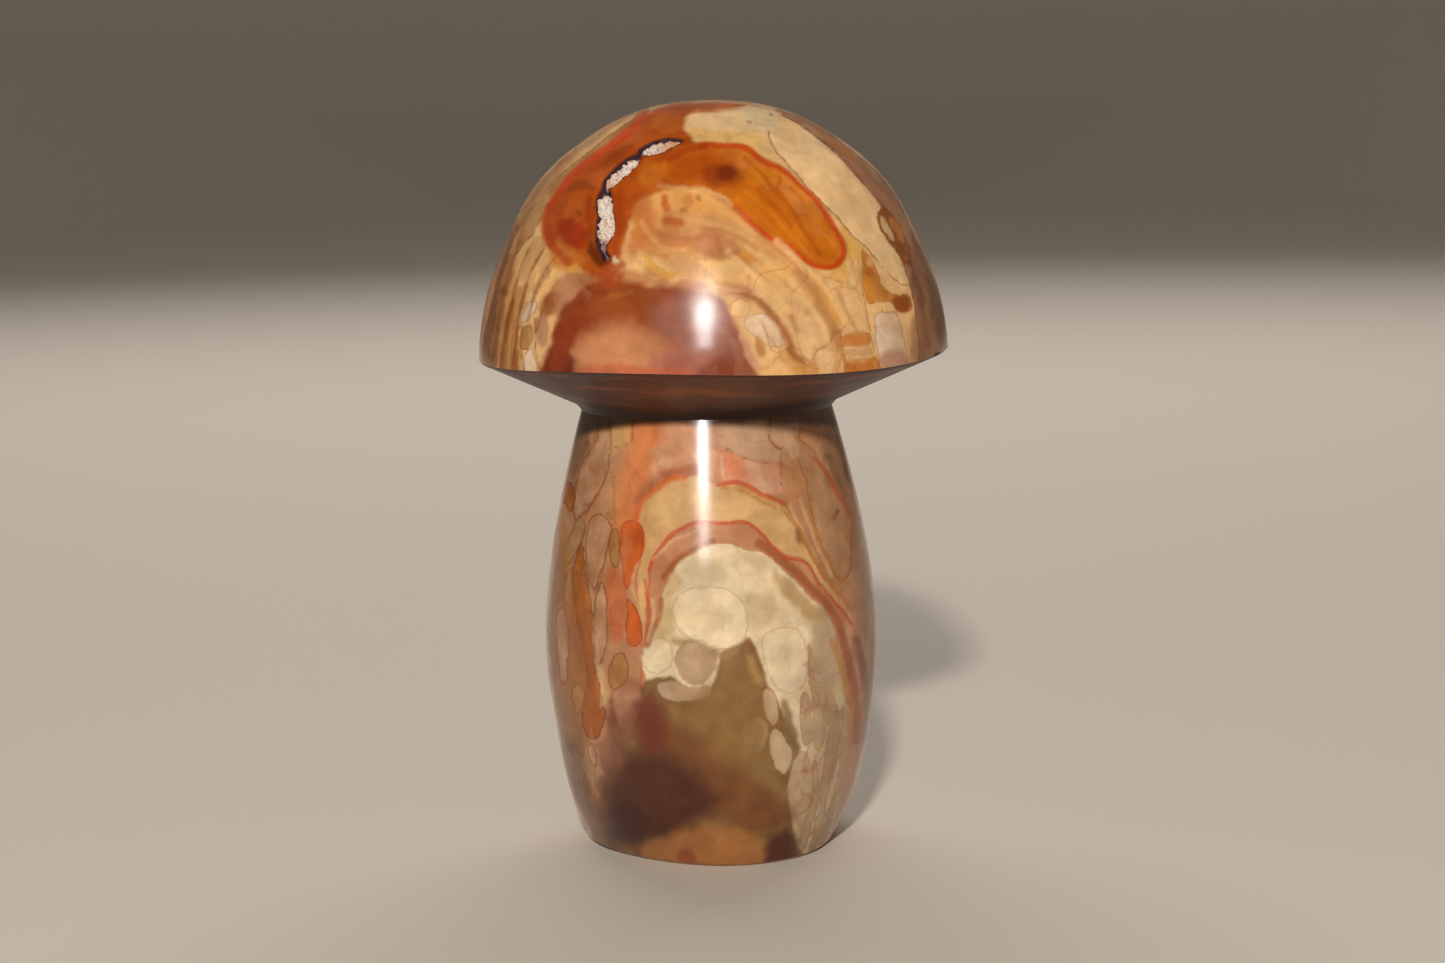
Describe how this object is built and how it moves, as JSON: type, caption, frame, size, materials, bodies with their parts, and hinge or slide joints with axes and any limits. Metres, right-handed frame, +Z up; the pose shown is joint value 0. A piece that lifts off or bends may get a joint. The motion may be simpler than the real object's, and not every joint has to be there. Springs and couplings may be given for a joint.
{
  "type": "polished stone mushroom carving",
  "caption": "Mushroom turned and polished from banded stone: barrel stem on a flat foot, narrow neck, domed cap with a sharp rim and a short crystal-lined fissure.",
  "frame": {"origin": "on the floor under the middle of the cap, in the plane of the foot's flat face", "axes": "+Z up from the foot to the top of the cap, -Y towards the side with the fissure, +X to the right of a viewer who faces that side"},
  "size_m": [0.0554, 0.0554, 0.0882],
  "materials": {
    "jasper": "polished",
    "druse_crystal": "matte"
  },
  "bodies": {
    "root": {"mushroom": "jasper", "druse": "druse_crystal"}
  },
  "joints": []
}
